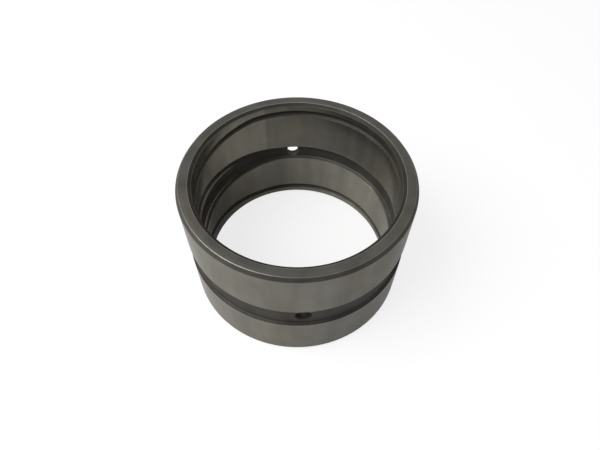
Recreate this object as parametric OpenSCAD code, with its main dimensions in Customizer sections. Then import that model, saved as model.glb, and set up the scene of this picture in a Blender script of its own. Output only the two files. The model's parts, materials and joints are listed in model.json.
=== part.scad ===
// Plain steel pin bushing: one turned ring with chamfered ends and a grease groove
// round the outside. In the bore, a matching groove runs round the middle, and a
// figure-eight grease groove winds over the wall between it and each end.
// The origin is the middle of the lower end face, and the bore runs along Z.

/* [Ring] */
// Diameter of the bore that the pin turns in
bore_d = 100; // [60:1:140]
// Thickness of the wall between the bore and the outside
wall = 7.5; // [6:0.5:12]
// Length from one end face to the other
length = 72; // [56:1:120]

/* [Chamfers at the ends] */
// How far the outside chamfer reaches in over the end face
outside_chamfer_in = 1.5; // [0.8:0.1:2]
// How far the outside chamfer runs along the outside
outside_chamfer_along = 2.2; // [1:0.1:3.6]
// How far the bore chamfer reaches out over the end face
bore_chamfer_out = 1.8; // [1:0.1:2]
// How far the bore chamfer runs along the bore
bore_chamfer_along = 1.6; // [1:0.1:2.4]

/* [Rounded edges] */
// Radius where an end face rolls over into the outside chamfer
outside_edge_r = 0.8; // [0.2:0.1:1]
// Radius where an end face rolls over into the bore chamfer
bore_edge_r = 1.2; // [0.2:0.1:1.4]
// Radius where a chamfer runs out into the ground wall
wall_edge_r = 0.5; // [0.2:0.1:0.8]
// Radius that breaks the sharp edges of the two grooves at mid length
groove_edge_r = 0.3; // [0.1:0.05:0.4]

/* [Grease groove outside] */
// Width of the outside grease groove
outside_groove_w = 14; // [10:0.5:24]
// Depth of the outside grease groove
outside_groove_depth = 1.6; // [0.8:0.1:2]
// Radius in the bottom corners of the outside grease groove
outside_groove_corner_r = 0.8; // [0.2:0.1:1.2]

/* [Grease groove in the bore] */
// Width of the grease groove round the middle of the bore
bore_groove_w = 9; // [7:0.5:16]
// Depth of the grease groove round the middle of the bore
bore_groove_depth = 1.8; // [1:0.1:2]
// Radius in its bottom corners
bore_groove_corner_r = 1.4; // [0.2:0.1:1.6]

/* [Figure-eight grooves in the bore] */
// Width of a figure-eight groove at the wall, lips included
eight_groove_w = 3.7; // [3.2:0.1:5]
// Depth of a figure-eight groove
eight_groove_depth = 1.2; // [0.8:0.1:1.6]
// Width of the bevelled lip along each side of the groove
eight_lip_w = 0.3; // [0.1:0.05:0.4]
// Width of the wall that is left between a figure eight and the end face
end_land_w = 4.3; // [3.4:0.1:8]
// Arc of the level run beside the end, in degrees
end_run_arc = 99; // [40:1:140]
// Arc that runs unseen inside the middle groove, in degrees
middle_run_arc = 52; // [20:1:100]
// Direction of the middle of the level runs, in degrees from the first grease hole
run_direction = -24; // [-90:1:90]

/* [Grease holes] */
// How many grease holes join the two grease grooves
grease_hole_count = 2; // [1:1:6]
// Diameter of a grease hole
grease_hole_d = 7; // [3:0.5:8.5]
// Width of the break round the outer mouth of a grease hole
outer_mouth_break = 0.7; // [0.2:0.1:0.8]
// Width of the break round the mouth in the bore
inner_mouth_break = 0.3; // [0.1:0.1:0.4]

/* [Hidden] */
$fn = 128;

bore_r = bore_d / 2;
outside_r = bore_r + wall;
middle_z = length / 2;

// Radii of the groove floors
outside_floor_r = outside_r - outside_groove_depth;
bore_floor_r = bore_r + bore_groove_depth;

// Least straight stretch between a groove's edge and its bottom corner
least_straight = 0.05;

// Straight pieces that stand for one rounded corner
arc_steps = 6;

// A cut starts this far inside the bore and leaves this far past the outside
run_out = 1;

// The first grease hole points along +Y
first_hole_angle = 90;

// Heights of a figure eight's middle line: beside the end, and inside the middle groove
end_run_z = length - end_land_w - eight_groove_w / 2;
middle_run_z = middle_z + bore_groove_w / 2 - groove_edge_r - eight_groove_w / 2;

// Half a figure eight, in degrees from the middle of its level run: the ramp's two ends
ramp_start = end_run_arc / 2;
ramp_end = 360 - middle_run_arc / 2;

// Degrees between two sections of a figure-eight groove
section_step = 5;

// Lip of the groove inside the bore, where the cut starts
lip_run_out = 0.4;

// Straight pieces that stand for the round bottom of a figure-eight groove
bottom_steps = 5;

// A direction of length one, a corner's place without its radius, and the shorter way to turn
function unit(v) = v / norm(v);
function place(corner) = [corner[0], corner[1]];
function turn(from, to) = (to - from + 540) % 360 - 180;

// Points of the arc of radius r that touches both lines of a corner
function rounded_corner(before, corner, after, r) =
    let (u = unit(before - corner),
         v = unit(after - corner),
         half = acos(u * v) / 2,
         centre = corner + unit(u + v) * r / sin(half),
         first = corner + u * r / tan(half) - centre,
         last = corner + v * r / tan(half) - centre,
         start = atan2(first[1], first[0]),
         sweep = turn(start, atan2(last[1], last[0])))
    [for (i = [0:arc_steps])
        centre + r * [cos(start + sweep * i / arc_steps), sin(start + sweep * i / arc_steps)]];

// A closed outline with every corner rounded: each is [distance from the axis, height, radius]
function rounded_outline(corners) =
    let (n = len(corners))
    [for (i = [0:n - 1])
        each rounded_corner(place(corners[(i + n - 1) % n]), place(corners[i]),
                            place(corners[(i + 1) % n]), corners[i][2])];

// The lower half's corners, seen in the mirror at mid length, in running order
function mirrored_up(corners) =
    [for (i = [len(corners) - 1:-1:0])
        [corners[i][0], length - corners[i][1], corners[i][2]]];

// One side of a groove at height z: its edge in the wall, then its corner on the floor
function groove_side(wall_r, floor_r, z, corner_r) =
    [[wall_r, z, groove_edge_r],
     [floor_r, z, min(corner_r, abs(floor_r - wall_r) - groove_edge_r - least_straight)]];

// Lower half of the outside, from the end face up to the grease groove's floor
outside_corners = concat(
    [[outside_r - outside_chamfer_in, 0, outside_edge_r],
     [outside_r, outside_chamfer_along, wall_edge_r]],
    groove_side(outside_r, outside_floor_r, middle_z - outside_groove_w / 2,
                outside_groove_corner_r));

// Lower half of the bore, from the end face up to the grease groove's floor
bore_corners = concat(
    [[bore_r + bore_chamfer_out, 0, bore_edge_r],
     [bore_r, bore_chamfer_along, wall_edge_r]],
    groove_side(bore_r, bore_floor_r, middle_z - bore_groove_w / 2, bore_groove_corner_r));

// Section of the wall: up the outside, over the top end face and down the bore
module wall_section() {
    up_the_outside = concat(outside_corners, mirrored_up(outside_corners));
    up_the_bore = concat(bore_corners, mirrored_up(bore_corners));
    down_the_bore = [for (i = [len(up_the_bore) - 1:-1:0]) up_the_bore[i]];
    polygon(rounded_outline(concat(up_the_outside, down_the_bore)));
}

// Round bottom of a figure-eight groove: the arc between the lips that touches its depth
bottom_half_w = eight_groove_w / 2 - eight_lip_w;
bottom_half_angle = 2 * atan((eight_groove_depth - eight_lip_w) / bottom_half_w);
bottom_r = bottom_half_w / sin(bottom_half_angle);
bottom_arc = [for (i = [0:bottom_steps])
    let (a = bottom_half_angle * (2 * i / bottom_steps - 1))
    [eight_groove_depth - bottom_r * (1 - cos(a)), bottom_r * sin(a)]];

// Section of that groove, as [depth into the wall, height]: the lips run on into the bore
lip_half_w = eight_groove_w / 2 + lip_run_out;
eight_section = concat([[-lip_run_out, -lip_half_w]], bottom_arc, [[-lip_run_out, lip_half_w]]);

// Height of the groove's middle line at a turn from the middle of its level run
function eight_z(a) =
    end_run_z - (end_run_z - middle_run_z) * max(0, (a - ramp_start) / (ramp_end - ramp_start));

// Turns at which half a figure eight has a section: even steps on the run and on the ramp
run_steps = ceil(ramp_start / section_step);
ramp_steps = ceil((ramp_end - ramp_start) / section_step);
eight_turns = concat(
    [for (i = [0:run_steps]) ramp_start * i / run_steps],
    [for (i = [1:ramp_steps]) ramp_start + (ramp_end - ramp_start) * i / ramp_steps]);

// Half of a figure eight as one swept solid: the level run, then the ramp to the middle
module half_eight() {
    n = len(eight_section);
    last = len(eight_turns) - 1;
    points = [for (a = eight_turns) for (p = eight_section)
        [(bore_r + p[0]) * cos(a), (bore_r + p[0]) * sin(a), eight_z(a) + p[1]]];
    sides = [for (i = [0:last - 1]) for (k = [0:n - 1])
        let (here = i * n, next = here + n, j = (k + 1) % n)
        each [[here + k, here + j, next + j], [here + k, next + j, next + k]]];
    start_cap = [for (k = [0:n / 2 - 2]) [k, n - 1 - k, n - 2 - k, k + 1]];
    end_cap = [for (quad = start_cap) [for (i = [3:-1:0]) last * n + quad[i]]];
    polyhedron(points = points, faces = concat(sides, start_cap, end_cap));
}

// A figure eight: two mirrored halves that meet in the level run and cross on the far side
module figure_eight() {
    rotate([0, 0, first_hole_angle + run_direction]) {
        half_eight();
        mirror([0, 1, 0]) half_eight();
    }
}

// A cone through a floor at radius r that runs outwards from one diameter to the other
module mouth_break(r, width, from_d, to_d) {
    translate([0, 0, r - width]) cylinder(h = 2 * width, d1 = from_d, d2 = to_d);
}

// One radial grease hole, drilled through both grease grooves, with both mouths broken
module grease_hole() {
    outer_mouth_d = grease_hole_d + 4 * outer_mouth_break;
    inner_mouth_d = grease_hole_d + 4 * inner_mouth_break;
    translate([0, 0, middle_z]) rotate([0, 90, 0]) {
        translate([0, 0, bore_r - run_out])
            cylinder(h = wall + 2 * run_out, d = grease_hole_d);
        mouth_break(outside_floor_r, outer_mouth_break, grease_hole_d, outer_mouth_d);
        mouth_break(bore_floor_r, inner_mouth_break, inner_mouth_d, grease_hole_d);
    }
}

// The whole ring, turned in one piece, grooved in the bore and then drilled
module bushing() {
    color([0.43, 0.42, 0.40])
    difference() {
        rotate_extrude() wall_section();
        figure_eight();
        translate([0, 0, length]) mirror([0, 0, 1]) figure_eight();
        for (i = [0:grease_hole_count - 1])
            rotate([0, 0, first_hole_angle + i * 360 / grease_hole_count]) grease_hole();
    }
}

bushing();
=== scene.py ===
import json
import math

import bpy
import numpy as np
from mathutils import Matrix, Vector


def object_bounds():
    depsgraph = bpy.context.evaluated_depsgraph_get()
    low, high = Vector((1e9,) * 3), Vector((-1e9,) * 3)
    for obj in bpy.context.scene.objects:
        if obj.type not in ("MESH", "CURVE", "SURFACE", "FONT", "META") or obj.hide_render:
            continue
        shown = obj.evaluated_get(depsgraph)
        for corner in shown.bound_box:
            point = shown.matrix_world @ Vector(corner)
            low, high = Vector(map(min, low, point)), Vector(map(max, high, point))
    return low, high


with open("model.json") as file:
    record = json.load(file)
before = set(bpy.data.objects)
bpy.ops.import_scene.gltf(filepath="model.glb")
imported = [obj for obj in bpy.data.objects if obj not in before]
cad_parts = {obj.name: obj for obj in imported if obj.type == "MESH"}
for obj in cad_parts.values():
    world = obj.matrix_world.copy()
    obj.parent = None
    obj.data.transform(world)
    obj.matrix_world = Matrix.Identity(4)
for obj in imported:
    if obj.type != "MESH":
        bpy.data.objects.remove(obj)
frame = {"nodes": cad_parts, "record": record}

# %% [markdown]
# # A ground steel bushing
# The object is one ring of hardened steel. It was turned on a lathe, grooved, drilled and
# hardened, and then ground on the bore, the outside and both end faces. The grinder never
# reaches into the grooves, the chamfers and the holes, so these stay as the furnace left
# them: dark and dull. The CAD model already holds every form, down to the rounded edges.
# So nothing is modelled here, and the whole lesson is about one steel with several
# finishes, and about the light that shows them.

MM = 0.001
scene = bpy.context.scene
ring = frame["nodes"]["bushing"]
cad_low, cad_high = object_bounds()
mounts = {mount["name"]: mount for mount in frame["record"]["mounts"]}
BORE_R = mounts["bore"]["dims"]["r_mm"] * MM
OUTSIDE_R = mounts["outside"]["dims"]["r_mm"] * MM
MIDDLE_R = (BORE_R + OUTSIDE_R) / 2
LENGTH = cad_high.z - cad_low.z
print("bore radius %.1f mm, outside radius %.1f mm, length %.1f mm"
      % (BORE_R / MM, OUTSIDE_R / MM, LENGTH / MM))

# %% [markdown]
# ## The camera
# The photograph looks down into the ring from close by, so the far rim looks smaller than
# the near one. Guessing such a view by eye takes long. Circles help: each edge of the ring
# is a circle of known size round one axis, and its ellipse in the picture fixes the
# camera's distance, its height and its lens. The numbers below come from that fit, and
# they are angles and real distances, so they can be read and changed.

# %% Camera
IMAGE_WIDTH = 600
FOCAL_PIXELS = 473.7
SENSOR_WIDTH = 36.0
CAMERA_BACK = 151.0 * MM
CAMERA_UP = 238.7 * MM
HEADING = math.radians(3.1)
LOOK_RIGHT = math.radians(0.571)
LOOK_DOWN = math.radians(53.955)
ROLL = math.radians(0.661)


def look_axes(turn, down, roll):
    """Forward is the heading dipped by the look-down angle. Level lies flat, at right
    angles to it. Roll turns level and its upright partner together round forward."""
    forward = Vector((math.sin(turn) * math.cos(down), math.cos(turn) * math.cos(down),
                      -math.sin(down)))
    level = Vector((math.cos(turn), -math.sin(turn), 0))
    upright = level.cross(forward)
    right = level * math.cos(roll) + upright * math.sin(roll)
    return right, upright * math.cos(roll) - level * math.sin(roll), forward


right, up, forward = look_axes(HEADING + LOOK_RIGHT, LOOK_DOWN, ROLL)
place = Vector((-CAMERA_BACK * math.sin(HEADING), -CAMERA_BACK * math.cos(HEADING), CAMERA_UP))
camera_lens = bpy.data.cameras.new("camera")
camera_lens.sensor_width = SENSOR_WIDTH
camera_lens.lens = FOCAL_PIXELS * SENSOR_WIDTH / IMAGE_WIDTH
camera = bpy.data.objects.new("camera", camera_lens)
camera.matrix_world = (Matrix.Translation(place)
                       @ Matrix((right, up, -forward)).transposed().to_4x4())
scene.collection.objects.link(camera)
scene.camera = camera
print("lens of %.1f mm, %.0f mm away from the ring's foot" % (camera_lens.lens, place.length / MM))

# %% [markdown]
# ## Colours and nodes
# A colour picked off a screen isn't the number that Blender adds light with: the screen's
# curve has to be taken out first. The other helpers keep the shader readable. Each adds
# one node, fills its sockets in order and gives back its output, so a chain of nodes reads
# like a formula.


# %% Helpers
def screen_colour(red, green, blue):
    """Each channel is divided by 255 and taken through the inverse of the sRGB curve."""
    seen = np.array([red, green, blue]) / 255
    light = np.where(seen <= 0.04045, seen / 12.92, ((seen + 0.055) / 1.055) ** 2.4)
    return (*light.tolist(), 1.0)


def grey(level):
    """A plain grey of this much light."""
    return (level, level, level, 1.0)


def add(tree, kind, *values, **options):
    """A new node. An option sets a property, and a value fills the next socket in use: an
    output is linked to it, a number is written in, and None leaves it as it is."""
    made = tree.nodes.new(kind)
    for name, option in options.items():
        setattr(made, name, option)
    for socket, value in zip([s for s in made.inputs if s.enabled], values):
        if isinstance(value, bpy.types.NodeSocket):
            tree.links.new(value, socket)
        elif value is not None:
            socket.default_value = value
    return made


def first(made):
    """The output in use of a node."""
    return next(socket for socket in made.outputs if socket.enabled)


def maths(tree, operation, *values):
    """One operation on numbers, such as a sum or the lesser of two."""
    return first(add(tree, "ShaderNodeMath", *values, operation=operation))


def vectors(tree, operation, *values):
    """One operation on vectors that gives a vector."""
    return first(add(tree, "ShaderNodeVectorMath", *values, operation=operation))


def ease(tree, value, low, high, start=0.0, end=1.0):
    """Goes from start to end in a soft S while the value goes from low to high."""
    return first(add(tree, "ShaderNodeMapRange", value, low, high, start, end,
                     interpolation_type="SMOOTHSTEP"))


def blend_colours(tree, share, from_colour, to_colour):
    """The first colour where the share is 0, the second where it is 1, a mix between."""
    return first(add(tree, "ShaderNodeMix", share, from_colour, to_colour, data_type="RGBA"))


print("a screen's grey of 128 is %.3f as light" % screen_colour(128, 128, 128)[0])

# %% [markdown]
# ## Where a point lies on a turned part
# Everything on this ring was made by something that went round its axis. So the patterns
# don't use x, y and z but the lathe's own measures: the distance from the axis, the height,
# and the direction round the axis. The direction stays a pair of numbers, its cosine and
# its sine, because an angle would jump where the circle closes and leave a seam.


# %% Lathe coordinates
class LathePlace:
    """Object coordinates as distance from the axis, height and direction round the axis."""

    def __init__(self, tree):
        point = tree.nodes.new("ShaderNodeTexCoord").outputs["Object"]
        split = add(tree, "ShaderNodeSeparateXYZ", point)
        flat = first(add(tree, "ShaderNodeCombineXYZ",
                         split.outputs["X"], split.outputs["Y"], 0.0))
        self.point = point
        self.height = split.outputs["Z"]
        self.radius = add(tree, "ShaderNodeVectorMath", flat, operation="LENGTH").outputs["Value"]
        self.direction = vectors(tree, "NORMALIZE", flat)

    def toward(self, tree, azimuth):
        """One where a point lies in this direction from the axis, and minus one opposite."""
        turn = math.radians(azimuth)
        met = add(tree, "ShaderNodeVectorMath", self.direction,
                  (math.cos(turn), math.sin(turn), 0.0), operation="DOT_PRODUCT")
        return met.outputs["Value"]

    def around(self, tree, turns, rise):
        """A place for noise: the circle's direction times a number of turns, and the height
        times a rise. Few turns and a large rise give marks that run round the ring."""
        circle = add(tree, "ShaderNodeVectorMath", self.direction, operation="SCALE")
        circle.inputs["Scale"].default_value = turns
        lift = maths(tree, "MULTIPLY", self.height, rise)
        lifted = first(add(tree, "ShaderNodeCombineXYZ", 0.0, 0.0, lift))
        return vectors(tree, "ADD", circle.outputs["Vector"], lifted)


print("the bore's wall is %.0f mm round" % (math.tau * BORE_R / MM))

# %% [markdown]
# ## Where the grinder reached
# The ground skin is the plain shape round the ring: two cylinders and two flat faces. A
# groove, a chamfer or a hole is whatever lies deeper than that skin. So one number, the
# depth below the nearest face of the skin, tells the finishes apart, and it does so on any
# ring of this kind, with no mask painted by hand. Two things have to be allowed for. The
# mesh has flat facets, whose middles lie off the true circle, so a little slack is taken
# off first. And the bevelled lips of the figure-eight grooves are so shallow that they
# would pass for skin, so away from the ends the depth counts several times over. The end of
# the chamfers and the start of the grooves are distances from the nearer end face.

# %% Depth below the skin
MESH_SLACK = 0.04 * MM
CHAMFER_END = 2.6 * MM
GROOVE_START = 3.2 * MM
LIP_COUNT = 3.5


def below_the_skin(tree, lathe):
    """Least of the distances to the bore, the outside and the nearer end face. After it
    come the least of the first two alone, which tells how far in over an end face a point
    is, and the last alone, which tells how far along the ring."""
    in_from_bore = maths(tree, "SUBTRACT", lathe.radius, BORE_R)
    in_from_outside = maths(tree, "SUBTRACT", OUTSIDE_R, lathe.radius)
    in_from_top = maths(tree, "SUBTRACT", LENGTH, lathe.height)
    in_from_end = maths(tree, "MINIMUM", lathe.height, in_from_top)
    over_the_face = maths(tree, "MINIMUM", in_from_bore, in_from_outside)
    nearest = maths(tree, "MINIMUM", over_the_face, in_from_end)
    depth = maths(tree, "SUBTRACT", nearest, MESH_SLACK)
    times = ease(tree, in_from_end, CHAMFER_END, GROOVE_START, 1.0, LIP_COUNT)
    return maths(tree, "MULTIPLY", depth, times), over_the_face, in_from_end


print("%.2f mm of slack for the facets" % (MESH_SLACK / MM))

# %% [markdown]
# A chamfer can be as deep as a groove, but it was turned smooth and a groove is rough with
# scale. Only a chamfer is near an end face, so the distance from there tells them apart.
# The same distance finds the rounded edges of the rim, which handling has rubbed bright.
# Each finish gets a share from 0 to 1 with soft limits, because real finishes run into
# each other on a rounded edge.

# %% Shares of the finishes
SKIN_END = 0.06 * MM
SCALE_START = 0.22 * MM
FACE_START = 0.15 * MM
FACE_FULL = 0.60 * MM
EDGE_START = 0.0
EDGE_FULL = 0.06 * MM
RIM_END = 0.6 * MM
CHAMFER_START = 1.0 * MM


class Shares:
    """How much of each finish a point has, and whether it lies on the outside."""

    def __init__(self, tree, lathe):
        depth, over_the_face, in_from_end = below_the_skin(tree, lathe)
        self.skin = ease(tree, depth, SKIN_END, SCALE_START, 1.0, 0.0)
        self.face = ease(tree, over_the_face, FACE_START, FACE_FULL)
        self.outside = ease(tree, lathe.radius, MIDDLE_R - MM, MIDDLE_R + MM)
        self.chamfer = ease(tree, in_from_end, CHAMFER_END, GROOVE_START, 1.0, 0.0)
        rim = ease(tree, in_from_end, RIM_END, CHAMFER_START, 1.0, 0.0)
        self.edge = maths(tree, "MULTIPLY", ease(tree, depth, EDGE_START, EDGE_FULL),
                          maths(tree, "MULTIPLY", self.skin, rim))


print("skin down to %.2f mm, other finishes from %.2f mm" % (SKIN_END / MM, SCALE_START / MM))

# %% [markdown]
# ## One steel, several finishes
# It could be several materials, one for each face. But the finishes meet on rounded edges
# and run into each other there, so one material blends them by the shares above: ground
# steel on the skin, smoother turned steel on the chamfers, dark furnace scale in the
# grooves, and the drilled walls of the holes. The bore and the outside have greys of their
# own. Faint clouds of warmer and cooler grey lie over the whole ring, as oil and handling
# leave them.

# %% Greys
OUTSIDE_GREY = screen_colour(121, 118, 111)
BORE_GREY = screen_colour(110, 107, 98)
FACE_GREY = screen_colour(84, 83, 78)
TURNED_OUTSIDE = screen_colour(74, 73, 69)
TURNED_IN_BORE = screen_colour(56, 55, 52)
SCALE_OUTSIDE = screen_colour(77, 75, 71)
SCALE_IN_BORE = screen_colour(66, 65, 60)
HOLE_OUTSIDE = screen_colour(55, 53, 50)
HOLE_IN_BORE = screen_colour(84, 82, 77)
RUBBED_EDGE = screen_colour(122, 119, 111)
WARM_CAST = (1.02, 1.0, 0.95, 1.0)
COOL_CAST = (1.0, 1.0, 1.03, 1.0)
HOLE_END = 3.8 * MM
FLOOR_START = 4.3 * MM
CLOUDS_PER_METRE = 26.0
CLOUD_DETAIL = 4.0
WARM_CLOUD = 0.38
COOL_CLOUD = 0.62
COOL_SIDE = 40.0
COOL_SIDE_STRENGTH = 0.06


def in_the_holes(tree, lathe):
    """One within a hole's radius of the line that both grease holes lie on. The line runs
    along Y at mid length, so the distance from it is that of X and Z alone."""
    line = Vector((0, 0, LENGTH / 2))
    off = vectors(tree, "SUBTRACT", lathe.point, line)
    off = vectors(tree, "MULTIPLY", off, Vector((1, 0, 1)))
    distance = add(tree, "ShaderNodeVectorMath", off, operation="LENGTH").outputs["Value"]
    return ease(tree, distance, HOLE_END, FLOOR_START, 1.0, 0.0)


def steel_colour(tree, lathe, shares):
    """Ground, turned and scaled greys are each chosen by how far out the point is, and the
    skin's share blends them. The clouds lay a warm or a cool cast over the whole."""
    walls = blend_colours(tree, shares.outside, BORE_GREY, OUTSIDE_GREY)
    ground = blend_colours(tree, shares.face, walls, FACE_GREY)
    scale = blend_colours(tree, shares.outside, SCALE_IN_BORE, SCALE_OUTSIDE)
    drilled = blend_colours(tree, shares.outside, HOLE_IN_BORE, HOLE_OUTSIDE)
    scale = blend_colours(tree, in_the_holes(tree, lathe), scale, drilled)
    turned = blend_colours(tree, shares.outside, TURNED_IN_BORE, TURNED_OUTSIDE)
    rough = blend_colours(tree, shares.chamfer, scale, turned)
    steel = blend_colours(tree, shares.skin, rough, ground)
    clouds = first(add(tree, "ShaderNodeTexNoise", lathe.point, CLOUDS_PER_METRE, CLOUD_DETAIL))
    cool_side = lathe.toward(tree, COOL_SIDE)
    clouds = maths(tree, "MULTIPLY_ADD", cool_side, COOL_SIDE_STRENGTH, clouds)
    cool = ease(tree, clouds, WARM_CLOUD, COOL_CLOUD)
    steel = vectors(tree, "MULTIPLY", steel, blend_colours(tree, cool, WARM_CAST, COOL_CAST))
    return blend_colours(tree, shares.edge, steel, RUBBED_EDGE)


print("bore grey %.3f, scale in the bore %.3f as light" % (BORE_GREY[1], SCALE_IN_BORE[1]))

# %% [markdown]
# ## Marks of the wheel
# The grinding wheel leaves fine marks that run round the ring, and the light spreads
# across them into soft upright streaks. A photograph of ground steel could be wrapped
# round it, but noise does it with no seam: stretched far along one direction, it turns into
# marks. The end faces were ground flat and have no streaks. They are mottled instead.

# %% Noise
STREAK_TURNS = 7.0
STREAK_RISE = 14.0
STREAK_DETAIL = 4.0
STREAK_STRENGTH = 0.7
MARK_TURNS = 3.0
MARKS_PER_METRE = 2600.0
MARK_DETAIL = 3.0
MARK_STRENGTH = 0.12
MOTTLES_PER_METRE = 90.0
MOTTLE_DETAIL = 5.0
MOTTLE_STRENGTH = 0.45
FACE_MOTTLE_STRENGTH = 0.9


def noise(tree, place, around, detail):
    """Noise in four dimensions: a place in space, and one more number. Both are scaled
    already, so the noise's own scale stays one."""
    return first(add(tree, "ShaderNodeTexNoise", place, around, 1.0, detail,
                     noise_dimensions="4D"))


def wheel_marks(tree, lathe):
    """Noise that changes slowly round the ring and fast along it and across it."""
    across = maths(tree, "MULTIPLY", lathe.radius, MARKS_PER_METRE)
    return noise(tree, lathe.around(tree, MARK_TURNS, MARKS_PER_METRE), across, MARK_DETAIL)


def swing(tree, value, strength):
    """A factor about one: noise from 0 to 1 swings it by half the strength each way."""
    half = maths(tree, "SUBTRACT", value, 0.5)
    return maths(tree, "MULTIPLY_ADD", half, strength, 1.0)


def fine_tone(tree, lathe, shares, marks):
    """Streaks times marks times mottles, each a factor about one."""
    streaks = noise(tree, lathe.around(tree, STREAK_TURNS, STREAK_RISE), 0.0, STREAK_DETAIL)
    streak_strength = ease(tree, shares.face, 0.0, 1.0, STREAK_STRENGTH, 0.0)
    shade = maths(tree, "MULTIPLY", swing(tree, streaks, streak_strength),
                  swing(tree, marks, MARK_STRENGTH))
    mottles = first(add(tree, "ShaderNodeTexNoise", lathe.point, MOTTLES_PER_METRE,
                        MOTTLE_DETAIL))
    mottle_strength = ease(tree, shares.face, 0.0, 1.0, MOTTLE_STRENGTH, FACE_MOTTLE_STRENGTH)
    return maths(tree, "MULTIPLY", shade, swing(tree, mottles, mottle_strength))


print("a wheel mark is about %.1f mm wide" % (1.0 / MARKS_PER_METRE / MM))

# %% [markdown]
# ## Broad tones
# On the real ring the lower bore is lighter on one side and darker on the other, and the
# outside is lighter on one side. That is light and shade: the steel mirrors a floor that is lit
# on one side and shaded on the other, and a room that this scene doesn't have, and here it
# is painted into the colour. High in the bore, the wheel's last dwell left a lighter patch that
# ends sharply, and across from it a darker patch and a darker band are painted shade. It
# could be lit with more lamps, but each of them would show on all the other faces too, so the
# painted light and shade are factors on the colour. They are worked out from direction and
# height, which belong to the ring, and so they stay in place in every view.
#
# Azimuths are in degrees, turning from X to Y. A facing is one where a point lies exactly
# toward an azimuth, nothing a quarter turn away from it, and minus one opposite. A reach is
# the pair of facings between which a tone grows to its full strength. Only the dark side
# is full at the first and gone at the second. Low and high are shares of the ring's length.

# %% Painted light and shade, and the dwell, in the bore
LOW_END = 0.40
HIGH_START = 0.62
# Painted light and shade: low in the bore the wall is lighter on one side and darker on the other,
# where it mirrors the lit and the shaded floor inside the ring.
PAINTED_LIGHT_SIDE = 35.0
PAINTED_LIGHT_REACH = (0.3, 1.0)
PAINTED_LIGHT_STRENGTH = 0.6
PAINTED_DARK_REACH = (-0.9, 0.2)
PAINTED_DARK_STRENGTH = -0.52
# Painted shade: a darker band high on the bore's wall on the lit side, where the wall mirrors the
# rim's shade.
LAND_START = 18 * MM
LAND_FULL = 8 * MM
LAND_REACH = (0.4, 0.95)
LAND_SHADE_STRENGTH = -0.3
DWELL_EDGE = 107.4
DWELL_SHARPNESS = 0.006
DWELL_REACH = (0.6, 0.95)
DWELL_STRENGTH = 0.26
# Painted shade: a darker patch high in the bore, where the wall mirrors the shaded floor.
PAINTED_SHADE_AT = 44.0
PAINTED_SHADE_REACH = (0.86, 0.99)
PAINTED_SHADE_STRENGTH = -0.32
QUARTER_TURN = 90.0


def dwell_and_painted_shade(tree, lathe):
    """The azimuth a quarter turn on from the dwell's edge is faced by nothing just at the
    edge, and more on one side of it, so there the dwell starts at once. It fades out
    further round. The darker patch is painted shade, and it fades out both ways."""
    past = lathe.toward(tree, DWELL_EDGE + QUARTER_TURN)
    past_the_edge = ease(tree, past, -DWELL_SHARPNESS, DWELL_SHARPNESS)
    near_the_edge = ease(tree, lathe.toward(tree, DWELL_EDGE), *DWELL_REACH)
    dwell = maths(tree, "MULTIPLY", past_the_edge, near_the_edge)
    dwell = maths(tree, "MULTIPLY", dwell, DWELL_STRENGTH)
    # The patch of painted shade.
    painted_shade = ease(tree, lathe.toward(tree, PAINTED_SHADE_AT), *PAINTED_SHADE_REACH, 0.0, PAINTED_SHADE_STRENGTH)
    return maths(tree, "ADD", dwell, painted_shade)


def bore_dwell_and_painted_light(tree, lathe):
    """One, plus the painted light low down over the whole inner half of the ring, plus the
    painted shade on the other side, the patches and the band of painted shade on the bore's
    wall and its shallow grooves alone."""
    low_down = ease(tree, lathe.height, LENGTH * LOW_END, LENGTH * HIGH_START, 1.0, 0.0)
    high_up = maths(tree, "SUBTRACT", 1.0, low_down)
    side = lathe.toward(tree, PAINTED_LIGHT_SIDE)
    # Painted light on one side low down, and painted shade on the other.
    near = ease(tree, side, *PAINTED_LIGHT_REACH, 0.0, PAINTED_LIGHT_STRENGTH)
    away = ease(tree, side, *PAINTED_DARK_REACH, PAINTED_DARK_STRENGTH, 0.0)
    painted_lit_side = maths(tree, "MULTIPLY", near, low_down)
    painted_dark_side = maths(tree, "MULTIPLY", away, low_down)
    # The band of painted shade high up.
    top_land_shade = ease(tree, lathe.height, LENGTH - LAND_START, LENGTH - LAND_FULL,
                    0.0, LAND_SHADE_STRENGTH)
    painted_land_shade = maths(tree, "MULTIPLY", top_land_shade, ease(tree, side, *LAND_REACH))
    patches = maths(tree, "MULTIPLY_ADD", dwell_and_painted_shade(tree, lathe), high_up, painted_land_shade)
    in_bore = ease(tree, lathe.radius, BORE_R + SCALE_START, BORE_R + 2 * SCALE_START, 1.0, 0.0)
    on_the_wall = maths(tree, "MULTIPLY", maths(tree, "ADD", painted_dark_side, patches), in_bore)
    inside = ease(tree, lathe.radius, MIDDLE_R - MM, MIDDLE_R, 1.0, 0.0)
    return maths(tree, "ADD", maths(tree, "MULTIPLY_ADD", painted_lit_side, inside, 1.0), on_the_wall)


print("the bore's wall is up to %.0f %% darker and %.0f %% lighter low down"
      % (-100 * PAINTED_DARK_STRENGTH, 100 * PAINTED_LIGHT_STRENGTH))

# %% Painted light on the outside, and darker groove corners
# Painted light: the outside is lighter on the side where it mirrors the lit floor.
PAINTED_LIGHT_OUTSIDE = 222.0
PAINTED_OUTSIDE_REACH = (0.70, 0.96)
PAINTED_OUTSIDE_STRENGTH = 0.14
# The two bottom corners of the outside groove are made darker from here on.
CORNER_START = 5.8 * MM
CORNER_FULL = 6.6 * MM
CORNER_STRENGTH = -0.2


def on_the_outside(tree, lathe):
    """One on the outer half of the ring, and nothing on the inner half."""
    return ease(tree, lathe.radius, MIDDLE_R, MIDDLE_R + MM)


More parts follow.
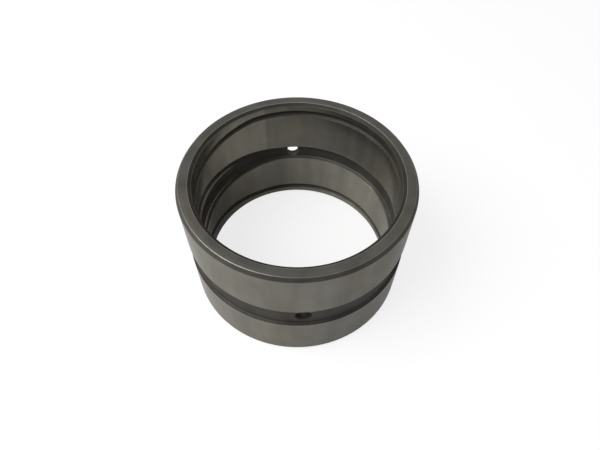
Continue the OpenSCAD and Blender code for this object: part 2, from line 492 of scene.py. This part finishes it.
def outside_painted_light(tree, lathe):
    """Painted light: the outside is lighter on one side, where it mirrors the lit floor."""
    facing = lathe.toward(tree, PAINTED_LIGHT_OUTSIDE)
    # The painted light on one side of the outside.
    lighter = ease(tree, facing, *PAINTED_OUTSIDE_REACH, 0.0, PAINTED_OUTSIDE_STRENGTH)
    return maths(tree, "MULTIPLY_ADD", lighter, on_the_outside(tree, lathe), 1.0)


def corner_tone(tree, lathe, shares):
    """The two bottom corners of the groove round the outside are made darker."""
    up = maths(tree, "SUBTRACT", lathe.height, LENGTH / 2)
    from_the_middle = maths(tree, "ABSOLUTE", up)
    corner = ease(tree, from_the_middle, CORNER_START, CORNER_FULL, 0.0, CORNER_STRENGTH)
    ground = maths(tree, "MAXIMUM", shares.skin, shares.chamfer)
    groove = maths(tree, "SUBTRACT", on_the_outside(tree, lathe), ground)
    return maths(tree, "MULTIPLY_ADD", corner, maths(tree, "MAXIMUM", groove, 0.0), 1.0)


# The groove's corners are darker from this far off the middle.
print("darker_corners from %.1f mm off the middle of the outside groove" % (CORNER_START / MM))

# %% [markdown]
# ## Gloss
# Roughness tells how far a reflection spreads. The bore is the smoothest face, because a
# pin runs in it, and furnace scale is the dullest. Each finish has its own number, and the
# marks make it swing a little, so that a highlight breaks up as it does on ground steel.

# %% Roughness
WALL_ROUGHNESS = 0.30
BORE_ROUGHNESS = 0.18
FACE_ROUGHNESS = 0.28
SCALE_ROUGHNESS = 0.58
TURNED_ROUGHNESS = 0.40
EDGE_ROUGHNESS = 0.36
ROUGHNESS_SWING = 0.2


def steel_roughness(tree, shares, marks):
    """The skin's roughness by its share, plus the rest's by what is left, and on the rubbed
    edges at least their own."""
    on_the_walls = ease(tree, shares.outside, 0.0, 1.0, BORE_ROUGHNESS, WALL_ROUGHNESS)
    on_the_faces = ease(tree, shares.face, 0.0, 1.0, 0.0, FACE_ROUGHNESS - WALL_ROUGHNESS)
    ground = maths(tree, "ADD", on_the_walls, on_the_faces)
    turned = maths(tree, "MULTIPLY", shares.chamfer, shares.outside)
    unground = ease(tree, turned, 0.0, 1.0, SCALE_ROUGHNESS, TURNED_ROUGHNESS)
    rest = maths(tree, "SUBTRACT", 1.0, shares.skin)
    roughness = maths(tree, "ADD", maths(tree, "MULTIPLY", ground, shares.skin),
                      maths(tree, "MULTIPLY", unground, rest))
    rubbed = ease(tree, shares.edge, 0.0, 1.0, 0.0, EDGE_ROUGHNESS)
    roughness = maths(tree, "MAXIMUM", roughness, rubbed)
    return maths(tree, "MULTIPLY", roughness, swing(tree, marks, ROUGHNESS_SWING))


print("roughness %.2f in the bore, %.2f on scale" % (BORE_ROUGHNESS, SCALE_ROUGHNESS))

# %% [markdown]
# ## The steel
# Pure metal shows nothing but what it mirrors, tinted with its own grey. In a plain room
# that leaves it flat in one place and glaring in another. Dull and oily steel scatters some
# light as well, and about half metal gives both. A low sheen level and a grey edge tint
# hold back the shine that every surface gains at a low angle. The marks are also a very
# shallow relief. Stronger relief would turn into glitter where the bore is seen at a low
# angle, and the rubbed edges get even less of it.

# %% Steel
METALLIC = 0.55
SHEEN_LEVEL = 0.1
EDGE_TINT = grey(0.45)
MARK_RELIEF = 0.12
EDGE_RELIEF = 0.05
RELIEF_HEIGHT = 0.02 * MM


def make_steel():
    """Colour times the fine tone and the broad tones, with roughness and relief."""
    steel = bpy.data.materials.new("ground_steel")
    steel.use_nodes = True
    tree = steel.node_tree
    surface = tree.nodes["Principled BSDF"]
    lathe = LathePlace(tree)
    shares = Shares(tree, lathe)
    marks = wheel_marks(tree, lathe)

    shade = fine_tone(tree, lathe, shares, marks)
    shade = maths(tree, "MULTIPLY", shade, bore_dwell_and_painted_light(tree, lathe))
    shade = maths(tree, "MULTIPLY", shade, outside_painted_light(tree, lathe))
    shade = maths(tree, "MULTIPLY", shade, corner_tone(tree, lathe, shares))
    colour = steel_colour(tree, lathe, shares)
    shaded = add(tree, "ShaderNodeVectorMath", colour, operation="SCALE")
    tree.links.new(shade, shaded.inputs["Scale"])
    tree.links.new(shaded.outputs["Vector"], surface.inputs["Base Color"])

    roughness = steel_roughness(tree, shares, marks)
    tree.links.new(roughness, surface.inputs["Roughness"])
    surface.inputs["Metallic"].default_value = METALLIC
    surface.inputs["Specular IOR Level"].default_value = SHEEN_LEVEL
    surface.inputs["Specular Tint"].default_value = EDGE_TINT

    bump = tree.nodes.new("ShaderNodeBump")
    relief = ease(tree, shares.edge, 0.0, 1.0, MARK_RELIEF, EDGE_RELIEF)
    tree.links.new(relief, bump.inputs["Strength"])
    bump.inputs["Distance"].default_value = RELIEF_HEIGHT
    tree.links.new(marks, bump.inputs["Height"])
    tree.links.new(bump.outputs["Normal"], surface.inputs["Normal"])
    return steel


ring.data.materials.clear()
ring.data.materials.append(make_steel())
print("steel with %d nodes" % len(ring.data.materials[0].node_tree.nodes))

# %% [markdown]
# ## Floor and light
# The ring stands on near-white paper with a faint, soft shadow. A floor that is white by
# light alone would need so much of it that the steel would glare. So for the camera, most
# of the floor's white is its own glow, and the rest is a dark matt grey that the lamp
# lights. The ring's shadow takes away only that rest, which makes it faint.
#
# Metal has to mirror a floor as well, and there a faint shadow would be wrong: low down,
# the steel mirrors the shaded paper inside the ring and at its foot. So reflected rays meet
# a truly pale paper that glows only a little, and the shadow on it is nearly as deep as on
# real paper.

# %% Floor
FLOOR_HALF = 30.0
FLOOR_GREY = 0.24
FLOOR_GLOW = 0.78
MIRRORED_GREY = 0.76
MIRRORED_GLOW = 0.30
PAPER_ROUGHNESS = 0.9
WHITE = grey(1.0)

floor_mesh = bpy.data.meshes.new("floor")
floor_mesh.from_pydata([(-FLOOR_HALF, -FLOOR_HALF, 0), (FLOOR_HALF, -FLOOR_HALF, 0),
                        (FLOOR_HALF, FLOOR_HALF, 0), (-FLOOR_HALF, FLOOR_HALF, 0)],
                       [], [(0, 1, 2, 3)])
floor = bpy.data.objects.new("floor", floor_mesh)
scene.collection.objects.link(floor)


def seen_or_mirrored(tree):
    """One for camera rays, reflected rays and rays through glass, and nothing for others."""
    ray = tree.nodes.new("ShaderNodeLightPath").outputs
    mirrored = maths(tree, "MAXIMUM", ray["Is Glossy Ray"], ray["Is Transmission Ray"])
    return maths(tree, "MAXIMUM", ray["Is Camera Ray"], mirrored)


def make_paper():
    """Matt paper, dark with a strong glow for the camera, and pale with a weak glow for
    reflected rays. Rays that only carry light from face to face get no glow."""
    paper = bpy.data.materials.new("paper")
    paper.use_nodes = True
    tree = paper.node_tree
    surface = tree.nodes["Principled BSDF"]
    glossy = tree.nodes.new("ShaderNodeLightPath").outputs["Is Glossy Ray"]
    base = blend_colours(tree, glossy, grey(FLOOR_GREY), grey(MIRRORED_GREY))
    tree.links.new(base, surface.inputs["Base Color"])
    surface.inputs["Roughness"].default_value = PAPER_ROUGHNESS
    surface.inputs["Specular IOR Level"].default_value = 0.0
    surface.inputs["Emission Color"].default_value = WHITE
    level = ease(tree, glossy, 0.0, 1.0, FLOOR_GLOW, MIRRORED_GLOW)
    glow = maths(tree, "MULTIPLY", seen_or_mirrored(tree), level)
    tree.links.new(glow, surface.inputs["Emission Strength"])
    return paper


floor_mesh.materials.append(make_paper())
print("a floor %.0f m wide" % (2 * FLOOR_HALF))

# %% [markdown]
# The room is a plain world of light, darker in front, where the camera stands, than at the
# sides and behind. The metal sees it brighter than it shines, for the same reason as the
# floor. The camera sees one plain pale tone instead, so that in a low view the floor runs
# into the backdrop without a line.

# %% Room
ROOM_FRONT = 0.24
ROOM_SIDES = 0.50
FRONT_REACH = (-0.9, -0.2)
SEEN_BRIGHTER = 1.8
BACKDROP = 0.89

room = bpy.data.worlds.new("room")
room.use_nodes = True
tree = room.node_tree
heading = tree.nodes.new("ShaderNodeTexCoord").outputs["Generated"]
behind = add(tree, "ShaderNodeSeparateXYZ", heading).outputs["Y"]
level = ease(tree, behind, *FRONT_REACH, ROOM_FRONT, ROOM_SIDES)
brighter = ease(tree, seen_or_mirrored(tree), 0.0, 1.0, 1.0, SEEN_BRIGHTER)
camera_ray = tree.nodes.new("ShaderNodeLightPath").outputs["Is Camera Ray"]
plain = maths(tree, "MULTIPLY", camera_ray, BACKDROP)
strength = maths(tree, "MAXIMUM", maths(tree, "MULTIPLY", level, brighter), plain)
background = tree.nodes["Background"]
background.inputs["Color"].default_value = WHITE
tree.links.new(strength, background.inputs["Strength"])
scene.world = room
print("room light %.2f in front, %.2f at the sides" % (ROOM_FRONT, ROOM_SIDES))

# %% [markdown]
# One large lamp hangs high on the left. The rounded edges of the rim face every way between
# the end face and the chamfers, so somewhere on each of them the lamp is mirrored as a thin
# bright line. A smaller lamp would make that line harder and the shadow sharper.


# %% Lamp
def hang_lamp(name, azimuth, elevation, distance, size, power):
    """A square lamp at a heading and a height angle from the ring's middle, facing it."""
    light = bpy.data.lights.new(name, "AREA")
    light.shape = "SQUARE"
    light.size = size
    light.energy = power
    lamp = bpy.data.objects.new(name, light)
    turn = math.radians(azimuth)
    tilt = math.radians(elevation)
    away = Vector((math.cos(turn) * math.cos(tilt), math.sin(turn) * math.cos(tilt),
                   math.sin(tilt))) * distance
    middle = Vector((0, 0, LENGTH / 2))
    lamp.matrix_world = (Matrix.Translation(middle + away)
                         @ away.to_track_quat("Z", "Y").to_matrix().to_4x4())
    scene.collection.objects.link(lamp)
    print("%s: %.1f W, %.2f m wide" % (name, power, size))


hang_lamp("window_left", azimuth=196, elevation=52, distance=1.0, size=0.75, power=9.5)

# %% [markdown]
# ## Close
# The Standard view shows a colour as it is written.

# %% Close
scene.view_settings.view_transform = "Standard"
